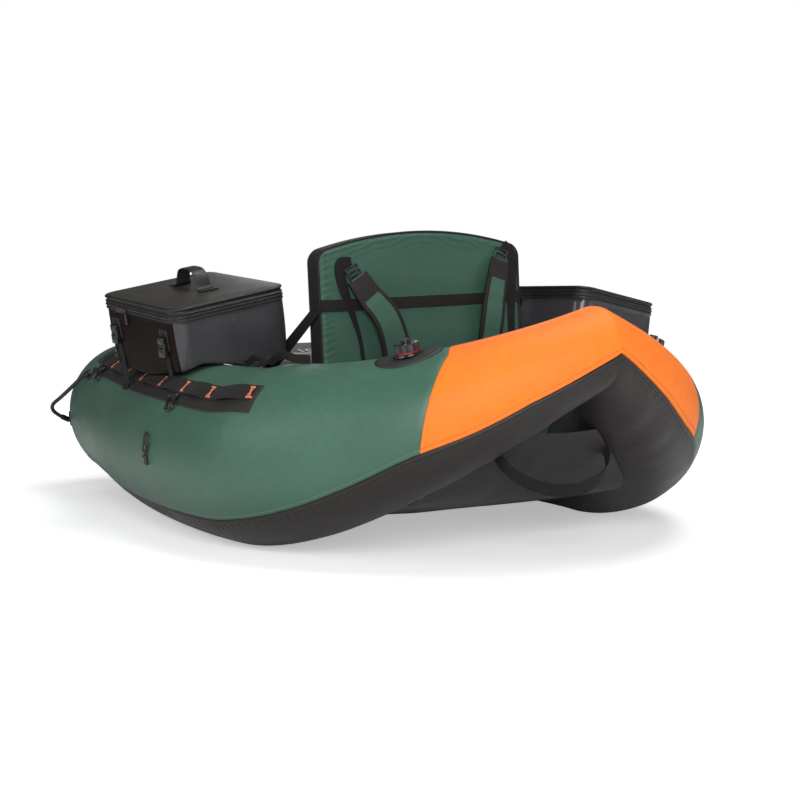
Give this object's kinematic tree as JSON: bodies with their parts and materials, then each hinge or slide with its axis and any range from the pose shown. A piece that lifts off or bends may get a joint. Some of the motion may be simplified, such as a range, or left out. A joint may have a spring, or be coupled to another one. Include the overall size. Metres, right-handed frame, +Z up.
{
  "type": "fishing float tube",
  "caption": "Inflatable V-shaped float tube for one angler, with raised orange tip, folding backrest, seat cushion, lap apron, lashing strips and zipped side bags strapped on its tubes.",
  "frame": {"origin": "on the floor, under the middle of the outline", "axes": "+Y towards the open front where the legs go, -Y towards the raised tip, +Z up, -X the side of the standing lid handle"},
  "size_m": [1.248, 1.7609, 0.6535],
  "materials": {
    "green_fabric": "dark green coated woven polyester, satin",
    "orange_fabric": "bright orange coated woven polyester, satin",
    "black_fabric": "charcoal coated woven polyester, satin",
    "bladder_film": "grey thermoplastic film, smooth",
    "black_rubber": "black welded rubberised patch, matt",
    "black_webbing": "black ribbed polyester webbing, matt",
    "black_plastic": "black moulded nylon, half gloss",
    "red_plastic": "dark red moulded plastic",
    "bag_film": "black rubber-coated cloth, soft sheen",
    "black_rope": "black braided cord",
    "apron_cloth": "grey-green coated cloth, matt"
  },
  "bodies": {
    "hull": {"carry_handle": "black_webbing", "hull_panel": "black_fabric", "left_back_stay": "black_webbing", "left_bag_body": "bag_film", "left_bag_buckle_front": "black_plastic", "left_bag_buckle_rear": "black_plastic", "left_bag_strap_front": "black_webbing", "left_bag_strap_rear": "black_webbing", "left_bladder": "bladder_film", "left_cover_base": "black_fabric", "left_cover_tip": "orange_fabric", "left_cover_top": "green_fabric", "left_end_patch": "black_rubber", "left_lash_strip": "black_rubber", "left_lash_webbing": "black_webbing", "left_rope_handle": "black_rope", "left_tether_loop": "black_rope", "left_tether_tab": "black_plastic", "left_valve_body": "black_plastic", "left_valve_patch": "black_rubber", "left_valve_ring": "red_plastic", "right_back_stay": "black_webbing", "right_bag_body": "bag_film", "right_bag_buckle_front": "black_plastic", "right_bag_buckle_rear": "black_plastic", "right_bag_strap_front": "black_webbing", "right_bag_strap_rear": "black_webbing", "right_bladder": "bladder_film", "right_cover_base": "black_fabric", "right_cover_tip": "orange_fabric", "right_cover_top": "green_fabric", "right_end_patch": "black_rubber", "right_lash_strip": "black_rubber", "right_lash_webbing": "black_webbing", "right_rope_handle": "black_rope", "right_tether_loop": "black_rope", "right_tether_tab": "black_plastic", "right_valve_body": "black_plastic", "right_valve_patch": "black_rubber", "right_valve_ring": "red_plastic", "seat_cushion": "black_fabric", "seat_panel": "black_fabric"},
    "backrest": {"backrest_pad": "green_fabric", "backrest_gusset": "black_fabric", "backrest_band": "black_webbing", "left_shoulder_pad": "green_fabric", "left_shoulder_lock": "black_plastic", "left_shoulder_webbing": "black_webbing", "right_shoulder_pad": "green_fabric", "right_shoulder_lock": "black_plastic", "right_shoulder_webbing": "black_webbing"},
    "apron": {"lap_apron": "apron_cloth"},
    "left_lid": {"left_bag_lid": "bag_film", "left_bag_handle": "black_webbing"},
    "right_lid": {"right_bag_lid": "bag_film", "right_bag_handle": "black_webbing"},
    "left_cap": {"left_valve_cap": "black_plastic"},
    "right_cap": {"right_valve_cap": "black_plastic"},
    "left_pull": {"left_zip_pull": "black_plastic"},
    "right_pull": {"right_zip_pull": "black_plastic"}
  },
  "joints": [
    {"name": "backrest_fold", "type": "hinge", "parent": "hull", "child": "backrest", "pos_m": [0.007, -0.1315, 0.336], "axis": [-0.9989, 0, -0.0471], "range_deg": [0, 65]},
    {"name": "apron_flip", "type": "hinge", "parent": "hull", "child": "apron", "pos_m": [-0.4425, 0.335, 0.36525], "axis": [-0.1251, -0.9902, -0.0618], "range_deg": [0, 80]},
    {"name": "left_lid_hinge", "type": "hinge", "parent": "hull", "child": "left_lid", "pos_m": [-0.46939, 0.24146, 0.52151], "axis": [-0.9748, -0.0887, -0.2045], "range_deg": [0, 100]},
    {"name": "right_lid_hinge", "type": "hinge", "parent": "hull", "child": "right_lid", "pos_m": [0.41313, 0.08197, 0.49269], "axis": [-0.9624, -0.2222, 0.1564], "range_deg": [0, 100]},
    {"name": "left_cap_turn", "type": "hinge", "parent": "hull", "child": "left_cap", "pos_m": [-0.28855, -0.61391, 0.39371], "axis": [-0.2685, -0.0121, 0.9632], "range_deg": [0, 90]},
    {"name": "right_cap_turn", "type": "hinge", "parent": "hull", "child": "right_cap", "pos_m": [0.28855, -0.61391, 0.39371], "axis": [0.2685, -0.0121, 0.9632], "range_deg": [0, 90]},
    {"name": "left_pull_swing", "type": "hinge", "parent": "hull", "child": "left_pull", "pos_m": [-0.59105, 0.1025, 0.47565], "axis": [-0.1118, 0.9883, 0.104], "range_deg": [0, 80]},
    {"name": "right_pull_swing", "type": "hinge", "parent": "hull", "child": "right_pull", "pos_m": [0.57639, -0.0122, 0.46645], "axis": [0.2244, -0.9745, -0.0034], "range_deg": [0, 80]}
  ]
}
